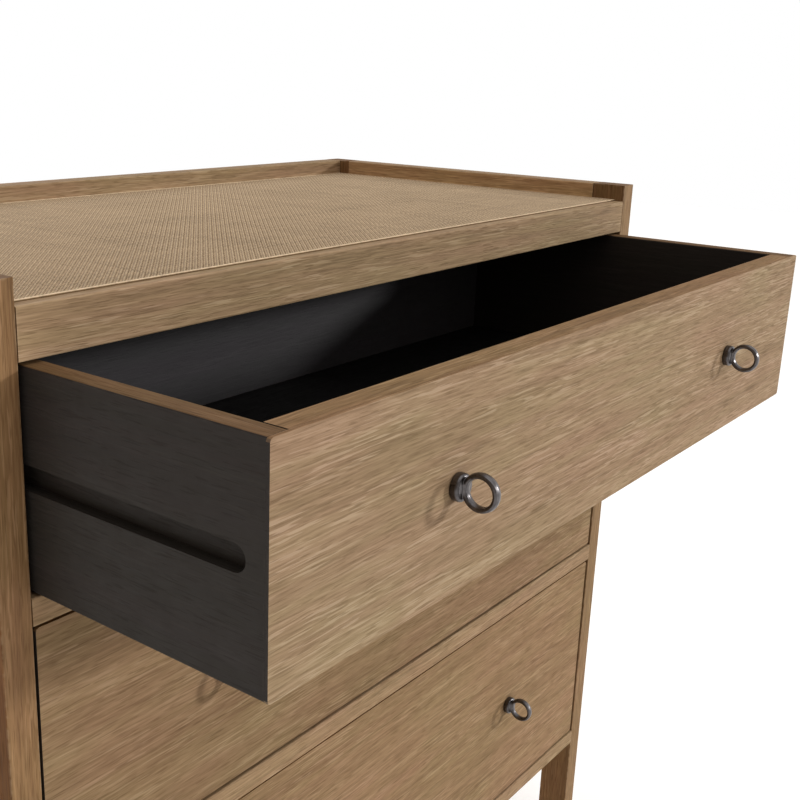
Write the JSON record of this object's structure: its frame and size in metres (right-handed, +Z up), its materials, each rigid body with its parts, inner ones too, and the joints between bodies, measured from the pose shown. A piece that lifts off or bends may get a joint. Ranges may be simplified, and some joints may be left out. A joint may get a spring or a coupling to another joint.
{
  "type": "chest of drawers",
  "caption": "Chest of graduated drawers on straight corner-post legs, with a low gallery round a woven inset top, ring pulls and wooden runners.",
  "frame": {"origin": "centre of the rest pose's outline on the floor: the middle of the width, and halfway between the back and the ring pulls of the open top drawer", "axes": "+Z up, front and drawers opening towards -Y, +X to the right seen from the front"},
  "size_m": [0.914, 0.6952, 0.93],
  "materials": {
    "oak": "pale brushed oak, matt",
    "runner_oak": "plain planed oak",
    "black_stained_wood": "black stain, satin",
    "woven_cane": "fine plain weave of natural fibre, matt",
    "plywood": "birch plywood, sealed",
    "gunmetal": "dark gunmetal, satin polished",
    "zinc": "zinc plated",
    "nylon": "black moulded nylon"
  },
  "bodies": {
    "case": {"front_left_post": "oak", "front_left_glide": "nylon", "front_right_post": "oak", "front_right_glide": "nylon", "rear_left_post": "oak", "rear_left_glide": "nylon", "rear_right_post": "oak", "rear_right_glide": "nylon", "left_gallery_rail": "oak", "right_gallery_rail": "oak", "back_gallery_rail": "oak", "left_lower_rail": "oak", "right_lower_rail": "oak", "back_lower_rail": "oak", "left_side_panel": "oak", "right_side_panel": "oak", "back_panel": "plywood", "front_top_rail": "oak", "upper_divider_rail": "oak", "lower_divider_rail": "oak", "front_bottom_rail": "oak", "top_board": "plywood", "woven_top_panel": "woven_cane", "dust_panel": "plywood", "drawer_1_left_runner": "runner_oak", "drawer_1_right_runner": "runner_oak", "drawer_2_left_runner": "runner_oak", "drawer_2_right_runner": "runner_oak", "drawer_3_left_runner": "runner_oak", "drawer_3_right_runner": "runner_oak"},
    "drawer_1": {"drawer_1_front": "oak", "drawer_1_left_side": "black_stained_wood", "drawer_1_right_side": "black_stained_wood", "drawer_1_back": "black_stained_wood", "drawer_1_bottom": "black_stained_wood", "drawer_1_left_pull": "gunmetal", "drawer_1_right_pull": "gunmetal", "drawer_1_left_pull_screw": "zinc", "drawer_1_right_pull_screw": "zinc"},
    "drawer_2": {"drawer_2_front": "oak", "drawer_2_left_side": "black_stained_wood", "drawer_2_right_side": "black_stained_wood", "drawer_2_back": "black_stained_wood", "drawer_2_bottom": "black_stained_wood", "drawer_2_left_pull": "gunmetal", "drawer_2_right_pull": "gunmetal", "drawer_2_left_pull_screw": "zinc", "drawer_2_right_pull_screw": "zinc"},
    "drawer_3": {"drawer_3_front": "oak", "drawer_3_left_side": "black_stained_wood", "drawer_3_right_side": "black_stained_wood", "drawer_3_back": "black_stained_wood", "drawer_3_bottom": "black_stained_wood", "drawer_3_left_pull": "gunmetal", "drawer_3_right_pull": "gunmetal", "drawer_3_left_pull_screw": "zinc", "drawer_3_right_pull_screw": "zinc"}
  },
  "joints": [
    {"name": "drawer_1_slide", "type": "slide", "parent": "case", "child": "drawer_1", "axis": [0, -1, 0], "range_m": [-0.209, 0.131]},
    {"name": "drawer_2_slide", "type": "slide", "parent": "case", "child": "drawer_2", "axis": [0, -1, 0], "range_m": [0, 0.34]},
    {"name": "drawer_3_slide", "type": "slide", "parent": "case", "child": "drawer_3", "axis": [0, -1, 0], "range_m": [0, 0.34]}
  ]
}
